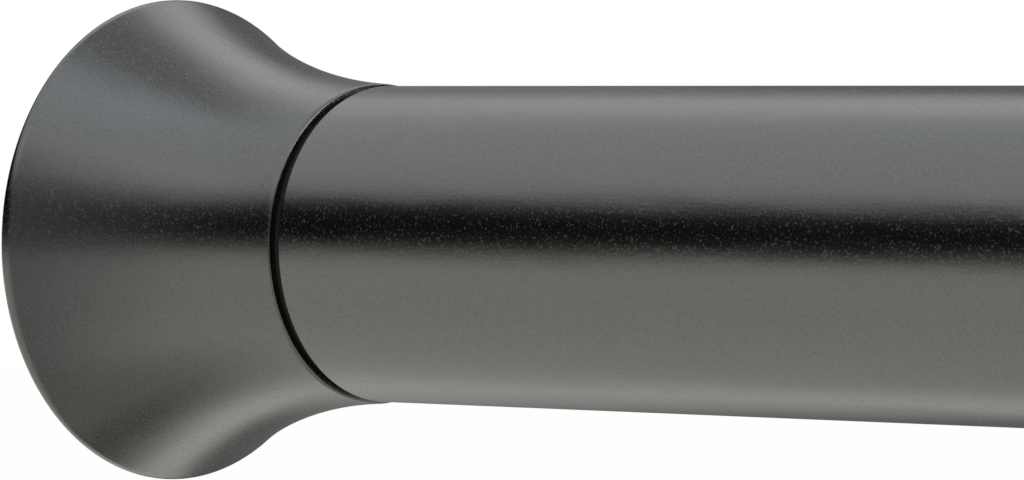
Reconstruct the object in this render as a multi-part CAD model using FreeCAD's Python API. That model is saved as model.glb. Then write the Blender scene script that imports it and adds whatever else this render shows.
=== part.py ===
import FreeCAD, Part
import math
import os

# Spring tension rod: two telescoping steel tubes with a flared cap and a soft pad at each end.
# A twist lock grips inside the outer tube and a compression spring pushes the inner tube outward.
# Millimetres. The rod lies along X with the left pad's face at x = 0, and Z is up.

# Whole rod, pushed together as it is stored
STORED_LENGTH = 610.0
EXPOSED_INNER_TUBE = 31.5
STORED_END_GAP = 1.0

# Tubes
OUTER_TUBE_DIAMETER = 25.4
OUTER_TUBE_WALL = 0.7
TUBE_SPACE = 0.9
INNER_TUBE_WALL = 0.6
TUBE_EDGE_ROUND = 0.5

# Flared end caps
CAP_LENGTH = 23.9
CAP_RIM_DIAMETER = 39.6
CAP_RIM_ROUND = 1.0
CAP_MOUTH_SLOPE = 2.9
CAP_PROUD = 0.19
CAP_WALL = 1.8
CAP_WEB = 3.0
CAP_LIP_CHAMFER = 0.15
CAP_RIB_COUNT = 6
CAP_RIB_THICKNESS = 1.4
CAP_BOSS_WALL = 1.9
CAP_BOSS_SETBACK = 6.0

# Wall pads
PAD_PROUD = 1.0
PAD_SEAT_DEPTH = 1.5
PAD_SIDE_CLEARANCE = 0.2
PAD_FACE_LAND = 0.8
PAD_LEDGE = 1.5
PAD_EDGE_ROUND = 0.6
PAD_GROOVE_WIDTH = 0.8
PAD_GROOVE_DEPTH = 0.4
PAD_GROOVE_PITCH = 2.6
PAD_GROOVE_COUNT = 4

# Cap screws
SCREW_RADIUS = 2.0
SCREW_LENGTH = 16.0
SCREW_POINT = 2.0
SCREW_HEAD_RADIUS = 3.6
SCREW_HEAD_HEIGHT = 2.6
SCREW_HEAD_ROUND = 1.2
SCREW_HEAD_CLEARANCE = 0.5
SCREW_HOLE_CLEARANCE = 0.2
SCREW_SLOT_WIDTH = 0.9
SCREW_SLOT_LENGTH = 4.0
SCREW_SLOT_DEPTH = 1.4

# Plugs that carry the caps in the tube ends
PLUG_FLANGE = 0.55
PLUG_FLANGE_SETBACK = 0.5
PLUG_LENGTH = 18.0
PLUG_CORE_SETBACK = 1.6
PLUG_RIB_COUNT = 8
PLUG_RIB_THICKNESS = 1.6
PLUG_REGISTER_RADIUS = 6.8
PLUG_REGISTER_LENGTH = 1.3
PLUG_REGISTER_CLEARANCE = 0.15

# Guide collar in the open end of the outer tube
COLLAR_FLANGE = 2.0
COLLAR_PROUD = 0.7
COLLAR_ROUND = 0.6
COLLAR_SLEEVE = 20.0
COLLAR_SLOT_COUNT = 3
COLLAR_SLOT_WIDTH = 2.0
COLLAR_SLOT_LENGTH = 14.0

# Running clearances, measured on the radius or along the axis
SLIDING_FIT = 0.1
ROD_FIT = 0.05
AXIAL_PLAY = 0.2

# Threaded rod of the lock, with a round left end and a six-sided right end
ROD_RADIUS = 3.0
ROD_TIP = 1.5
ROD_COLLAR_RADIUS = 5.5
ROD_COLLAR_LENGTH = 3.0
NUT_THICKNESS = 5.0
NUT_FLATS = 10.0
NUT_CHAMFER_ANGLE = 30.0
ROD_HEX_FLATS = 6.0
HEX_FIT = 0.1

# Split expander sleeve and the cone nut that opens it
FINGER_LENGTH = 20.0
FINGER_TIP_WALL = 1.7
FINGER_ROOT_WALL = 4.5
FINGER_COUNT = 4
FINGER_SLOT_WIDTH = 2.4
HUB_LENGTH = 5.0
GRIP_GROOVE_COUNT = 3
GRIP_GROOVE_PITCH = 3.0
GRIP_GROOVE_DEPTH = 0.4
GRIP_GROOVE_WIDTH = 1.2
RING_SETBACK = 3.0
RING_WIRE_RADIUS = 0.6
CONE_LENGTH = 18.0
CONE_TRAVEL = 3.0
CONE_GAP = 0.3
CONE_END_GAP = 1.0
KEY_CLEARANCE = 0.3

# Retaining clip and washers on the rod
CLIP_THICKNESS = 0.8
CLIP_GROOVE_DEPTH = 0.5
CLIP_WIDTH = 2.4
CLIP_OPENING = 3.0
THRUST_WASHER_RADIUS = 7.0
THRUST_WASHER_THICKNESS = 1.0
END_WASHER_RADIUS = 7.0
END_WASHER_THICKNESS = 1.2

# Compression spring and its seats
SPRING_WIRE = 2.0
SPRING_CLEARANCE = 1.8
SPRING_LENGTH = 60.0
SPRING_TURNS = 9.0
SPRING_END_GAP = 0.1
SEAT_FLANGE = 1.2
SEAT_PILOT = 4.0
SEAT_PILOT_CLEARANCE = 0.4
SEAT_SETBACK = 1.0

# Hexagonal guide bush in the left end of the inner tube
BUSH_FLANGE = 4.0
BUSH_STUB = 14.0
BUSH_CORE_SETBACK = 2.5
BUSH_POCKET_DEPTH = 8.0
BUSH_POCKET_WALL = 3.0

# Radii that the pieces share
OUTER_TUBE_RADIUS = OUTER_TUBE_DIAMETER / 2
OUTER_BORE = OUTER_TUBE_RADIUS - OUTER_TUBE_WALL
INNER_TUBE_RADIUS = OUTER_BORE - TUBE_SPACE
INNER_BORE = INNER_TUBE_RADIUS - INNER_TUBE_WALL
RIM_RADIUS = CAP_RIM_DIAMETER / 2
PAD_RECESS_RADIUS = RIM_RADIUS - CAP_RIM_ROUND - PAD_FACE_LAND
PAD_RADIUS = PAD_RECESS_RADIUS - PAD_SIDE_CLEARANCE
COUNTERBORE_RADIUS = SCREW_HEAD_RADIUS + SCREW_HEAD_CLEARANCE
BOSS_RADIUS = COUNTERBORE_RADIUS + CAP_BOSS_WALL
GUIDE_RADIUS = OUTER_BORE - SLIDING_FIT
ROD_BORE = ROD_RADIUS + ROD_FIT
SPRING_OUTER_RADIUS = OUTER_BORE - SPRING_CLEARANCE
SPRING_MEAN_RADIUS = SPRING_OUTER_RADIUS - SPRING_WIRE / 2

# Stations along an end, measured from its pad's face
RIM_X = PAD_PROUD
PAD_BACK_X = RIM_X + PAD_SEAT_DEPTH
MOUTH_X = RIM_X + CAP_LENGTH
WEB_X = MOUTH_X - CAP_WEB
BOSS_X = PAD_BACK_X + CAP_BOSS_SETBACK
TUBE_START_X = MOUTH_X + PLUG_FLANGE
PLUG_END_X = TUBE_START_X + PLUG_LENGTH

# Stations along the whole rod
INNER_END_X = STORED_LENGTH - TUBE_START_X
OUTER_END_X = STORED_LENGTH - MOUTH_X - EXPOSED_INNER_TUBE - COLLAR_FLANGE
ROD_START_X = PLUG_END_X + STORED_END_GAP
STOP_NUT_X = ROD_START_X + ROD_TIP
CONE_X = STOP_NUT_X + NUT_THICKNESS + AXIAL_PLAY
HUB_X = CONE_X + CONE_LENGTH + CONE_TRAVEL + CONE_END_GAP + CLIP_THICKNESS + AXIAL_PLAY
HUB_END_X = HUB_X + HUB_LENGTH
THRUST_WASHER_X = HUB_END_X + AXIAL_PLAY
ROD_COLLAR_X = THRUST_WASHER_X + THRUST_WASHER_THICKNESS
SEAT_X = ROD_COLLAR_X + ROD_COLLAR_LENGTH
SPRING_X = SEAT_X + SEAT_FLANGE
BUSH_X = SPRING_X + SPRING_LENGTH + SPRING_END_GAP
INNER_START_X = BUSH_X + BUSH_FLANGE
END_WASHER_X = INNER_START_X + BUSH_STUB + AXIAL_PLAY
END_NUT_X = END_WASHER_X + END_WASHER_THICKNESS
ROD_END_X = END_NUT_X + NUT_THICKNESS + ROD_TIP

AXIS = FreeCAD.Vector(1, 0, 0)
ORIGIN = FreeCAD.Vector(0, 0, 0)
FULL_TURN = 360.0
# Cutters run past the faces they open by this much
OVERRUN = 1.0


def place(x, r):
    """Point at height r above the rod's axis."""
    return FreeCAD.Vector(x, 0, r)


class Outline:
    """Closed outline in the half plane above the rod's axis, revolved into a solid."""

    def __init__(self, x, r):
        self.first = place(x, r)
        self.last = self.first
        self.edges = []

    def line(self, x, r):
        """Straight edge to a new point, left out where it would have no length."""
        target = place(x, r)
        if not target.isEqual(self.last, 1e-6):
            self.edges.append(Part.LineSegment(self.last, target).toShape())
            self.last = target
        return self

    def arc(self, centre_x, centre_r, radius, start_angle, end_angle):
        """Round stretch about a centre, joined to the last point, with angles in degrees from +X."""
        points = []
        for angle in (start_angle, (start_angle + end_angle) / 2, end_angle):
            turn = math.radians(angle)
            points.append(place(centre_x + radius * math.cos(turn), centre_r + radius * math.sin(turn)))
        self.line(points[0].x, points[0].z)
        self.edges.append(Part.Arc(self.last, points[1], points[2]).toShape())
        self.last = points[2]
        return self

    def solid(self):
        """Revolve the outline, closed back to its first point, about the rod's axis."""
        self.line(self.first.x, self.first.z)
        return Part.Face(Part.Wire(self.edges)).revolve(ORIGIN, AXIS, FULL_TURN)


def ring(start, end, outer, inner=0.0, round_start=0.0, round_end=0.0):
    """Disc, washer or tube between two stations, with its outer edges rounded where asked."""
    outline = Outline(start, inner).line(start, outer - round_start)
    if round_start:
        outline.arc(start + round_start, outer - round_start, round_start, 180, 90)
    outline.line(end - round_end, outer)
    if round_end:
        outline.arc(end - round_end, outer - round_end, round_end, 90, 0)
    return outline.line(end, inner).solid()


def cone(start, end, start_radius, end_radius):
    """Solid cone frustum along the rod."""
    return Outline(start, 0).line(start, start_radius).line(end, end_radius).line(end, 0).solid()


def hexagon(start, end, flats):
    """Six-sided bar along the rod, given the distance across its flats."""
    corner = flats / 2 / math.cos(math.radians(30))
    points = []
    for step in range(7):
        turn = math.radians(60 * step)
        points.append(FreeCAD.Vector(start, corner * math.cos(turn), corner * math.sin(turn)))
    return Part.Face(Part.makePolygon(points)).extrude(AXIS * (end - start))


def fin(start, end, inner, outer, thickness):
    """Flat radial blade that stands up from the axis, between two radii."""
    corner = FreeCAD.Vector(start, -thickness / 2, inner)
    return Part.makeBox(end - start, thickness, outer - inner, corner)


def around(shape, count):
    """Copies of a shape spaced evenly about the rod's axis."""
    copies = []
    for step in range(count):
        copy = shape.copy()
        copy.rotate(ORIGIN, AXIS, FULL_TURN * step / count)
        copies.append(copy)
    return copies


def turned_to_right_end(shape):
    """The same piece at the other end of the rod, facing the other wall."""
    copy = shape.copy()
    copy.rotate(FreeCAD.Vector(STORED_LENGTH / 2, 0, 0), FreeCAD.Vector(0, 0, 1), 180)
    return copy


def flare_centre(mouth_radius):
    """Centre and radius of the hollow curve that runs from the cap's mouth into its rounded rim."""
    slope = math.radians(CAP_MOUTH_SLOPE)
    along = MOUTH_X - (RIM_X + CAP_RIM_ROUND)
    rise = mouth_radius - (RIM_RADIUS - CAP_RIM_ROUND)
    lean = along * math.sin(slope) + rise * math.cos(slope)
    radius = (along ** 2 + rise ** 2 - CAP_RIM_ROUND ** 2) / (2 * (CAP_RIM_ROUND - lean))
    return MOUTH_X + radius * math.sin(slope), mouth_radius + radius * math.cos(slope), radius


def cap_body(mouth_radius):
    """Solid trumpet shape of the cap: rounded rim, hollow flare and chamfered mouth."""
    centre_x, centre_r, radius = flare_centre(mouth_radius)
    rim_x = RIM_X + CAP_RIM_ROUND
    rim_r = RIM_RADIUS - CAP_RIM_ROUND
    join = math.degrees(math.atan2(centre_r - rim_r, centre_x - rim_x))
    lip_radius = mouth_radius - CAP_LIP_CHAMFER
    lip_x = MOUTH_X - CAP_LIP_CHAMFER
    lip_angle = math.degrees(math.asin((lip_x - centre_x) / radius)) - 90
    outline = Outline(RIM_X, 0).line(RIM_X, rim_r)
    outline.arc(rim_x, rim_r, CAP_RIM_ROUND, 180, join)
    outline.arc(centre_x, centre_r, radius, join - 180, lip_angle)
    return outline.line(MOUTH_X, lip_radius).line(MOUTH_X, 0).solid()


def cap_cavity(mouth_radius):
    """Hollow that leaves the cap's wall, open towards the pad and closed by the web."""
    centre_x, centre_r, radius = flare_centre(mouth_radius)
    hollow = radius + CAP_WALL
    opening = PAD_RECESS_RADIUS - PAD_LEDGE
    start = -180 + math.degrees(math.asin((centre_r - opening) / hollow))
    end = -90 - math.degrees(math.asin((centre_x - WEB_X) / hollow))
    outline = Outline(PAD_BACK_X, 0).line(PAD_BACK_X, opening)
    return outline.arc(centre_x, centre_r, hollow, start, end).line(WEB_X, 0).solid()


def end_cap(tube_radius):
    """Moulded cap with a pad seat, radial ribs, a screw boss and a register for the plug."""
    mouth_radius = tube_radius + CAP_PROUD
    cavity = cap_cavity(mouth_radius)
    pad_recess = ring(RIM_X - OVERRUN, PAD_BACK_X, PAD_RECESS_RADIUS)
    shell = cap_body(mouth_radius).cut([cavity, pad_recess])
    boss = ring(BOSS_X, WEB_X, BOSS_RADIUS)
    blade = fin(PAD_BACK_X, WEB_X, 0, RIM_RADIUS, CAP_RIB_THICKNESS)
    ribs = []
    for rib in around(blade, CAP_RIB_COUNT):
        ribs.append(rib.common(cavity))
    cap = shell.fuse([boss] + ribs).removeSplitter()
    well = ring(PAD_BACK_X - OVERRUN, BOSS_X, BOSS_RADIUS)
    counterbore = ring(BOSS_X - OVERRUN, screw_seat_x(), COUNTERBORE_RADIUS)
    hole = ring(BOSS_X - OVERRUN, MOUTH_X + OVERRUN, SCREW_RADIUS + SCREW_HOLE_CLEARANCE)
    socket_radius = PLUG_REGISTER_RADIUS + PLUG_REGISTER_CLEARANCE
    socket_x = MOUTH_X - PLUG_REGISTER_LENGTH - PLUG_REGISTER_CLEARANCE
    socket = ring(socket_x, MOUTH_X + OVERRUN, socket_radius)
    return cap.cut([well, counterbore, hole, socket])


def screw_seat_x():
    """Station of the counterbore's floor, where the screw's head sits."""
    return WEB_X - PLUG_REGISTER_CLEARANCE


def wall_pad():
    """Soft pad with a rounded edge and shallow ring grooves in the face that meets the wall."""
    pad = ring(0, PAD_BACK_X, PAD_RADIUS, 0, PAD_EDGE_ROUND)
    grooves = []
    for step in range(PAD_GROOVE_COUNT):
        outer = PAD_RADIUS - PAD_GROOVE_PITCH * (step + 1)
        grooves.append(ring(-OVERRUN, PAD_GROOVE_DEPTH, outer, outer - PAD_GROOVE_WIDTH))
    return pad.cut(grooves)


def cap_screw():
    """Pan-head screw through the cap's web into the plug, with a cross recess."""
    seat = screw_seat_x()
    head = ring(seat - SCREW_HEAD_HEIGHT, seat, SCREW_HEAD_RADIUS, 0, SCREW_HEAD_ROUND)
    tip = seat + SCREW_LENGTH
    shank = ring(seat, tip - SCREW_POINT, SCREW_RADIUS)
    point = cone(tip - SCREW_POINT, tip, SCREW_RADIUS, SCREW_RADIUS / 2)
    top = seat - SCREW_HEAD_HEIGHT
    arm = fin(top - OVERRUN, top + SCREW_SLOT_DEPTH, 0, SCREW_SLOT_LENGTH / 2, SCREW_SLOT_WIDTH)
    return head.fuse([shank, point]).removeSplitter().cut(around(arm, 4))


def tube_plug(tube_radius, bore):
    """Plug pressed into a tube's end, with a thin flange, crush ribs and the cap's register."""
    flange = ring(MOUTH_X, TUBE_START_X, tube_radius - PLUG_FLANGE_SETBACK)
    register = ring(MOUTH_X - PLUG_REGISTER_LENGTH, MOUTH_X, PLUG_REGISTER_RADIUS)
    core_radius = bore - PLUG_CORE_SETBACK
    core = ring(TUBE_START_X, PLUG_END_X, core_radius)
    blade = fin(TUBE_START_X, PLUG_END_X, 0, bore + OVERRUN, PLUG_RIB_THICKNESS)
    inside = ring(TUBE_START_X, PLUG_END_X, bore)
    ribs = []
    for rib in around(blade, PLUG_RIB_COUNT):
        ribs.append(rib.common(inside))
    plug = flange.fuse([register, core] + ribs).removeSplitter()
    pilot = ring(MOUTH_X - PLUG_REGISTER_LENGTH - OVERRUN, PLUG_END_X + OVERRUN, SCREW_RADIUS)
    return plug.cut(pilot)


def outer_tube():
    """Wide tube with rolled ends."""
    return ring(TUBE_START_X, OUTER_END_X, OUTER_TUBE_RADIUS, OUTER_BORE, TUBE_EDGE_ROUND, TUBE_EDGE_ROUND)


def inner_tube():
    """Narrow tube that slides in the wide one."""
    return ring(INNER_START_X, INNER_END_X, INNER_TUBE_RADIUS, INNER_BORE, TUBE_EDGE_ROUND, TUBE_EDGE_ROUND)


def tube_collar():
    """Plastic guide in the wide tube's open end: a rounded flange and a split sleeve."""
    bore = INNER_TUBE_RADIUS + SLIDING_FIT
    flange = ring(OUTER_END_X, OUTER_END_X + COLLAR_FLANGE, OUTER_TUBE_RADIUS + COLLAR_PROUD, bore,
                  COLLAR_ROUND, COLLAR_ROUND)
    sleeve = ring(OUTER_END_X - COLLAR_SLEEVE, OUTER_END_X, OUTER_BORE, bore)
    slot_end = OUTER_END_X - COLLAR_SLEEVE + COLLAR_SLOT_LENGTH
    slot = fin(OUTER_END_X - COLLAR_SLEEVE - OVERRUN, slot_end, 0, OUTER_BORE + OVERRUN, COLLAR_SLOT_WIDTH)
    return flange.fuse(sleeve).removeSplitter().cut(around(slot, COLLAR_SLOT_COUNT))


def taper_radius(x):
    """Inside radius of the expander's fingers at a station left of its hub."""
    root = GUIDE_RADIUS - FINGER_ROOT_WALL
    tip = GUIDE_RADIUS - FINGER_TIP_WALL
    return root + (tip - root) * (HUB_X - x) / FINGER_LENGTH


def ring_groove_x():
    """Station of the elastic ring's centre on the fingers."""
    return HUB_X - FINGER_LENGTH + RING_SETBACK


def expander_sleeve():
    """Split collet: a hub on the rod and tapered fingers that a cone spreads against the tube."""
    mouth_x = HUB_X - FINGER_LENGTH
    sleeve = ring(mouth_x, HUB_END_X, GUIDE_RADIUS, ROD_BORE)
    taper = cone(mouth_x, HUB_X, taper_radius(mouth_x), taper_radius(HUB_X))
    slot = fin(mouth_x - OVERRUN, HUB_X, 0, GUIDE_RADIUS + OVERRUN, FINGER_SLOT_WIDTH)
    cuts = [taper] + around(slot, FINGER_COUNT)
    groove_x = ring_groove_x()
    groove_floor = GUIDE_RADIUS - 2 * RING_WIRE_RADIUS
    cuts.append(ring(groove_x - RING_WIRE_RADIUS, groove_x + RING_WIRE_RADIUS, GUIDE_RADIUS + OVERRUN,
                     groove_floor))
    for step in range(GRIP_GROOVE_COUNT):
        start = groove_x + GRIP_GROOVE_PITCH * (step + 1)
        floor = GUIDE_RADIUS - GRIP_GROOVE_DEPTH
        cuts.append(ring(start, start + GRIP_GROOVE_WIDTH, GUIDE_RADIUS + OVERRUN, floor))
    return sleeve.cut(cuts)


def expander_ring():
    """Elastic ring in the fingers' groove, which draws them back in."""
    centre = FreeCAD.Vector(ring_groove_x(), 0, 0)
    return Part.makeTorus(GUIDE_RADIUS - RING_WIRE_RADIUS, RING_WIRE_RADIUS, centre, AXIS)


def wedge_nut():
    """Cone nut on the thread, keyed in the slots, drawn back by its whole travel."""
    start = CONE_X + CONE_TRAVEL
    end = start + CONE_LENGTH
    body = cone(start, end, taper_radius(start) - CONE_GAP, taper_radius(end) - CONE_GAP)
    key_tip = GUIDE_RADIUS - 2 * RING_WIRE_RADIUS - 2 * KEY_CLEARANCE
    key = fin(start, end, 0, key_tip, FINGER_SLOT_WIDTH - 2 * KEY_CLEARANCE)
    nut = body.fuse(around(key, FINGER_COUNT)).removeSplitter()
    nut = nut.cut(ring(start - OVERRUN, end + OVERRUN, ROD_BORE))
    nut.translate(AXIS * -CONE_TRAVEL)
    return nut


def clip_x():
    """Station of the retaining clip, just left of the expander's hub."""
    return HUB_X - AXIAL_PLAY - CLIP_THICKNESS


def lock_rod():
    """Steel rod: threaded round left end, clip groove, thrust collar, six-sided shaft, round tip."""
    round_end = ring(ROD_START_X, ROD_COLLAR_X, ROD_RADIUS, 0, ROD_TIP / 2)
    collar = ring(ROD_COLLAR_X, SEAT_X, ROD_COLLAR_RADIUS)
    shaft = hexagon(SEAT_X, END_WASHER_X, ROD_HEX_FLATS)
    tip = ring(END_WASHER_X, ROD_END_X, ROD_RADIUS, 0, 0, ROD_TIP / 2)
    groove = ring(clip_x(), clip_x() + CLIP_THICKNESS, ROD_RADIUS + OVERRUN, ROD_RADIUS - CLIP_GROOVE_DEPTH)
    return round_end.fuse([collar, shaft, tip]).removeSplitter().cut(groove)


def hex_nut(start):
    """Plain nut with its corners chamfered on both faces."""
    corner = NUT_FLATS / 2 / math.cos(math.radians(30))
    drop = (corner - NUT_FLATS / 2) * math.tan(math.radians(NUT_CHAMFER_ANGLE))
    end = start + NUT_THICKNESS
    outline = Outline(start, 0).line(start, NUT_FLATS / 2).line(start + drop, corner)
    outline.line(end - drop, corner).line(end, NUT_FLATS / 2).line(end, 0)
    nut = hexagon(start, end, NUT_FLATS).common(outline.solid())
    return nut.cut(ring(start - OVERRUN, end + OVERRUN, ROD_RADIUS))


def rod_nuts():
    """The stop nut at the rod's left end and the nut at its right end."""
    return Part.makeCompound([hex_nut(STOP_NUT_X), hex_nut(END_NUT_X)])


def hub_clip():
    """Open spring clip in the rod's groove."""
    floor = ROD_RADIUS - CLIP_GROOVE_DEPTH
    clip = ring(clip_x(), clip_x() + CLIP_THICKNESS, floor + CLIP_WIDTH, floor)
    opening = fin(clip_x() - OVERRUN, clip_x() + CLIP_THICKNESS + OVERRUN, 0, floor + CLIP_WIDTH + OVERRUN,
                  CLIP_OPENING)
    return clip.cut(opening)


def thrust_washer():
    """Washer between the expander's hub and the rod's collar."""
    return ring(THRUST_WASHER_X, ROD_COLLAR_X, THRUST_WASHER_RADIUS, ROD_BORE)


def end_washer():
    """Washer that stops the inner tube's bush at the end of the shaft."""
    return ring(END_WASHER_X, END_NUT_X, END_WASHER_RADIUS, ROD_BORE)


def spring_seat():
    """Flanged seat with a pilot that centres the spring on the shaft."""
    pilot = SPRING_MEAN_RADIUS - SPRING_WIRE / 2 - SEAT_PILOT_CLEARANCE
    flange = ring(SEAT_X, SPRING_X, OUTER_BORE - SEAT_SETBACK)
    boss = ring(SPRING_X, SPRING_X + SEAT_PILOT, pilot)
    hole = hexagon(SEAT_X - OVERRUN, SPRING_X + SEAT_PILOT + OVERRUN, ROD_HEX_FLATS + 2 * HEX_FIT)
    return flange.fuse(boss).removeSplitter().cut(hole)


def tension_spring():
    """Compression spring of round wire, with both ends ground flat."""
    pitch = SPRING_LENGTH / SPRING_TURNS
    path = Part.makeHelix(pitch, SPRING_LENGTH + 2 * pitch, SPRING_MEAN_RADIUS)
    start = FreeCAD.Vector(SPRING_MEAN_RADIUS, 0, 0)
    section = Part.Wire(Part.makeCircle(SPRING_WIRE / 2, start, FreeCAD.Vector(0, 1, pitch / FULL_TURN)))
    coil = Part.Wire(path).makePipeShell([section], True, True)
    coil.rotate(ORIGIN, FreeCAD.Vector(0, 1, 0), 90)
    coil.translate(AXIS * (SPRING_X - pitch))
    return coil.common(ring(SPRING_X, SPRING_X + SPRING_LENGTH, OUTER_BORE))


def inner_tube_bush():
    """Guide bush pressed into the inner tube, with a six-sided bore for the shaft."""
    flange = ring(BUSH_X, INNER_START_X, GUIDE_RADIUS)
    end = INNER_START_X + BUSH_STUB
    stub = ring(INNER_START_X, end, INNER_BORE)
    hole = hexagon(BUSH_X - OVERRUN, end + OVERRUN, ROD_HEX_FLATS + 2 * HEX_FIT)
    pocket_outer = INNER_BORE - BUSH_CORE_SETBACK
    pocket_inner = ROD_HEX_FLATS / 2 + BUSH_POCKET_WALL
    pocket = ring(INNER_START_X, INNER_START_X + BUSH_POCKET_DEPTH, pocket_outer, pocket_inner)
    return flange.fuse(stub).removeSplitter().cut([hole, pocket])


def build():
    """Every piece of the rod by its node name."""
    pieces = {
        "left_wall_pad": wall_pad(),
        "left_end_cap": end_cap(OUTER_TUBE_RADIUS),
        "left_cap_screw": cap_screw(),
        "left_tube_plug": tube_plug(OUTER_TUBE_RADIUS, OUTER_BORE),
        "outer_tube": outer_tube(),
        "tube_collar": tube_collar(),
        "expander_sleeve": expander_sleeve(),
        "expander_ring": expander_ring(),
        "wedge_nut": wedge_nut(),
        "lock_rod": lock_rod(),
        "rod_nuts": rod_nuts(),
        "hub_clip": hub_clip(),
        "thrust_washer": thrust_washer(),
        "spring_seat": spring_seat(),
        "tension_spring": tension_spring(),
        "end_washer": end_washer(),
        "inner_tube_bush": inner_tube_bush(),
        "inner_tube": inner_tube(),
        "right_tube_plug": turned_to_right_end(tube_plug(INNER_TUBE_RADIUS, INNER_BORE)),
        "right_end_cap": turned_to_right_end(end_cap(INNER_TUBE_RADIUS)),
        "right_cap_screw": turned_to_right_end(cap_screw()),
        "right_wall_pad": turned_to_right_end(wall_pad()),
    }
    return pieces


def main():
    """Write one file for each piece and say its size."""
    os.makedirs("parts", exist_ok=True)
    for name, shape in build().items():
        shape.exportStep("parts/" + name + ".step")
        box = shape.BoundBox
        print(name, "solids", len(shape.Solids), "valid", shape.isValid(),
              "volume", round(shape.Volume, 1), "x", round(box.XMin, 2), round(box.XMax, 2),
              "radius", round(box.ZMax, 2))


main()
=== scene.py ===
import logging
import math
from dataclasses import dataclass, field
from enum import Enum
from typing import Optional, Union

import bmesh
import bpy
from mathutils import Matrix, Vector


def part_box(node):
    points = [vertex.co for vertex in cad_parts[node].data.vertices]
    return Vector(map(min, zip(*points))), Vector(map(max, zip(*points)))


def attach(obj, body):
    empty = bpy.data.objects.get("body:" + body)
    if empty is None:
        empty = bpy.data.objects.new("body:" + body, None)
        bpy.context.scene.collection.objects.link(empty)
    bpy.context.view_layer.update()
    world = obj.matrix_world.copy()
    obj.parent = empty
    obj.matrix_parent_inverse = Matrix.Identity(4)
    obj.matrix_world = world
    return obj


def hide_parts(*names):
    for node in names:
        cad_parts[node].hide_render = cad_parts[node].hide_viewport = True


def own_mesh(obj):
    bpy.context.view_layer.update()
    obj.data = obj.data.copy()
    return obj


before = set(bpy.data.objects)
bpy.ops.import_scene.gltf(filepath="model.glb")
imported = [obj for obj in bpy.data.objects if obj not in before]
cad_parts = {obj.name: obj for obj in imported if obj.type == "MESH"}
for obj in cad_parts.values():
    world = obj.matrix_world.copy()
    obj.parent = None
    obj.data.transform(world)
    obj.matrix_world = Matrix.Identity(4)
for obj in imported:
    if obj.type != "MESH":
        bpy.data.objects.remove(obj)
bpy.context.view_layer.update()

LOG = logging.getLogger("spring_tension_rod")
MM = 0.001
ORIGIN = Vector((0.0, 0.0, 0.0))
ROD_AXIS = Vector((1.0, 0.0, 0.0))
FULL_TURN = math.tau
QUARTER_DEGREES = 90.0
HALF_DEGREES = 180.0
MERGE_DISTANCE = 1e-7
SHARP_ANGLE = 28.0
SPARE_TURN = 1
OUTER_TUBE_WALL = 0.7 * MM
INNER_TUBE_WALL = 0.6 * MM

Number = Union[int, float]
Colour = tuple[float, float, float]
Point = tuple[float, float]
Stretch = tuple[float, float, float]


class Body(Enum):
    """The moving groups that carry a new piece, named as in the frame."""

    OUTER = "outer"
    LOCK = "lock"
    INNER = "inner"


class End(Enum):
    """The two ends of the rod."""

    LEFT = "left"
    RIGHT = "right"


class Slot(Enum):
    """The record's finishes that a new piece has."""

    TUBE = "tube_finish"
    CAP = "cap_finish"
    STEEL = "plated_steel"
    SPRING = "spring_steel"


def shaded(tone: Colour, factor: float) -> Colour:
    """Make a colour lighter or darker by a factor."""
    return tuple(channel * factor for channel in tone)


class Signal:
    """A socket's value inside a shader, with arithmetic written as Python expressions."""

    def __init__(self, graph: "ShaderGraph", socket: bpy.types.NodeSocket) -> None:
        """Wrap an output socket.

        Args:
            graph: The shader that the socket belongs to.
            socket: The output socket to wrap.
        """
        self.graph = graph
        self.socket = socket

    def _math(self, operation: str, first: "Operand", second: "Operand") -> "Signal":
        """Add one Math node for two operands."""
        node = self.graph.node("ShaderNodeMath", {"operation": operation}, {0: first, 1: second})
        return self.graph.signal(node, 0)

    def __add__(self, other: "Operand") -> "Signal":
        """Sum."""
        return self._math("ADD", self, other)

    def __radd__(self, other: "Operand") -> "Signal":
        """Sum with a number on the left."""
        return self._math("ADD", other, self)

    def __sub__(self, other: "Operand") -> "Signal":
        """Difference."""
        return self._math("SUBTRACT", self, other)

    def __rsub__(self, other: "Operand") -> "Signal":
        """Difference from a number on the left."""
        return self._math("SUBTRACT", other, self)

    def __mul__(self, other: "Operand") -> "Signal":
        """Product."""
        return self._math("MULTIPLY", self, other)

    def __truediv__(self, other: "Operand") -> "Signal":
        """Quotient."""
        return self._math("DIVIDE", self, other)

    def larger(self, other: "Operand") -> "Signal":
        """The larger of two values."""
        return self._math("MAXIMUM", self, other)

    def arcsine(self) -> "Signal":
        """Angle whose sine is this value."""
        return self._math("ARCSINE", self, 0.0)

    def bearing(self, other: "Operand") -> "Signal":
        """Angle whose tangent is this value over the other one."""
        return self._math("ARCTAN2", self, other)


Operand = Union[Signal, Number]


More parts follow.
